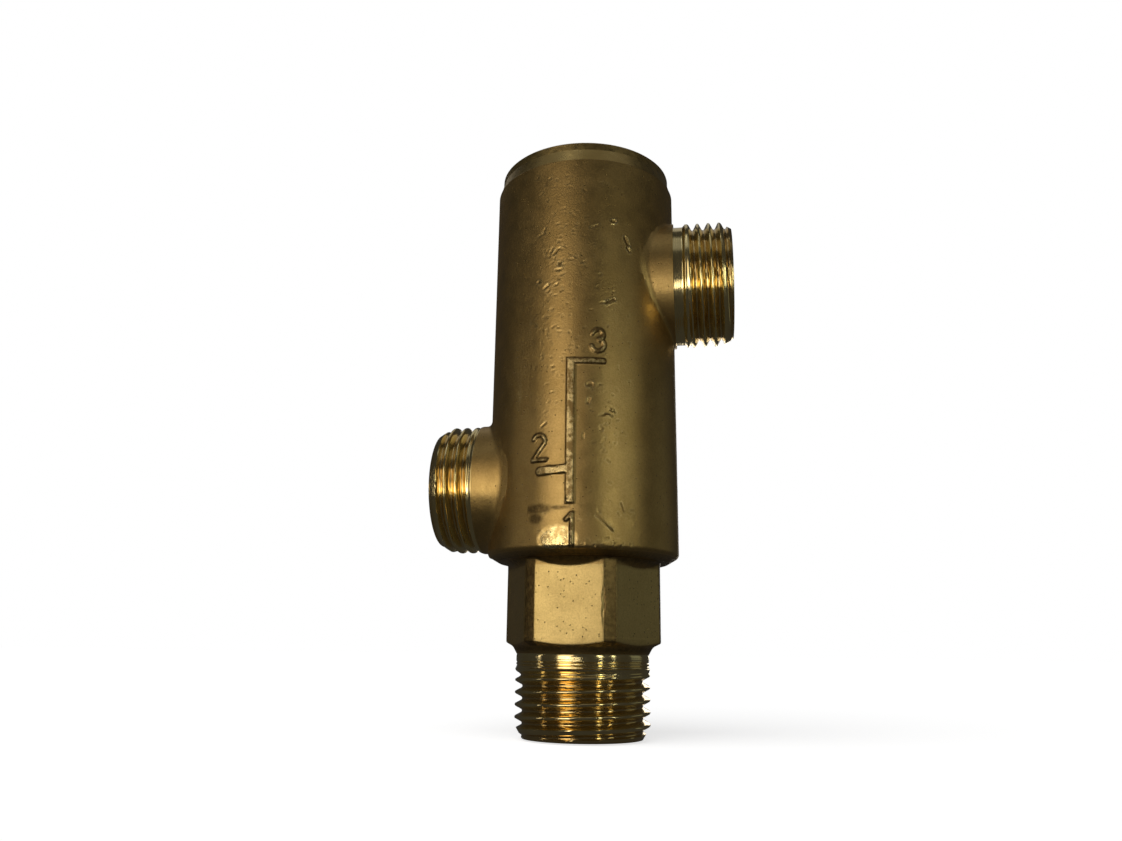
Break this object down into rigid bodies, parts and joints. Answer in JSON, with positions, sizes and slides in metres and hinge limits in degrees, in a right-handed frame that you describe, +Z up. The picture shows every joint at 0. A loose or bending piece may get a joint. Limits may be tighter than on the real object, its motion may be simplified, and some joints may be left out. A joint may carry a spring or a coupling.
{
  "type": "thermostatic mixing valve",
  "caption": "Brass mixing valve: upright cylinder with hexagonal foot, a threaded inlet below, one on the left, a threaded outlet at the upper right, wax element and shuttle inside.",
  "frame": {"origin": "on the axis of the valve body, in the end face of connection 1 (the bottom spigot)", "axes": "+Z up the body axis to the end plug, +X along connection 3 (mixed water), -X along connection 2 (cold), -Y the marked front"},
  "size_m": [0.0487, 0.0306, 0.0938],
  "materials": {
    "forged_brass": "matte forged, machined where it seals",
    "turned_brass": "turned",
    "inner_brass": "turned",
    "copper": "drawn copper",
    "spring_steel": "bright spring wire",
    "ground_steel": "ground",
    "shuttle_plastic": "moulded",
    "slide_plastic": "skived sheet",
    "seal_rubber": "moulded",
    "wax": "pressed wax and copper powder"
  },
  "bodies": {
    "root": {"valve_body": "forged_brass", "end_plug": "turned_brass", "plug_seal": "seal_rubber", "plunger_snap_ring": "spring_steel", "lower_seat": "inner_brass", "hot_seat_washer": "seal_rubber", "upper_seat_ring": "inner_brass", "seat_ring_seal": "seal_rubber", "seat_circlip": "spring_steel", "return_spring": "spring_steel", "overload_spring": "spring_steel"},
    "regulator": {"shuttle": "shuttle_plastic", "shuttle_seal": "seal_rubber", "element_cup": "copper", "wax_charge": "wax", "diaphragm": "seal_rubber", "element_guide": "inner_brass"},
    "overload": {"overload_plunger": "inner_brass", "piston_pin": "ground_steel", "rubber_plug": "seal_rubber", "backup_disc": "slide_plastic"}
  },
  "joints": [
    {"name": "regulator_slide", "type": "slide", "parent": "root", "child": "regulator", "axis": [0, 0, 1], "range_m": [-0.0024, 0], "stiffness_N_per_m": 1800, "springref_m": 0.001, "deforming": ["return_spring"]},
    {"name": "overload_slide", "type": "slide", "parent": "root", "child": "overload", "axis": [0, 0, 1], "range_m": [0, 0.003], "stiffness_N_per_m": 4300, "deforming": ["overload_spring"]}
  ]
}
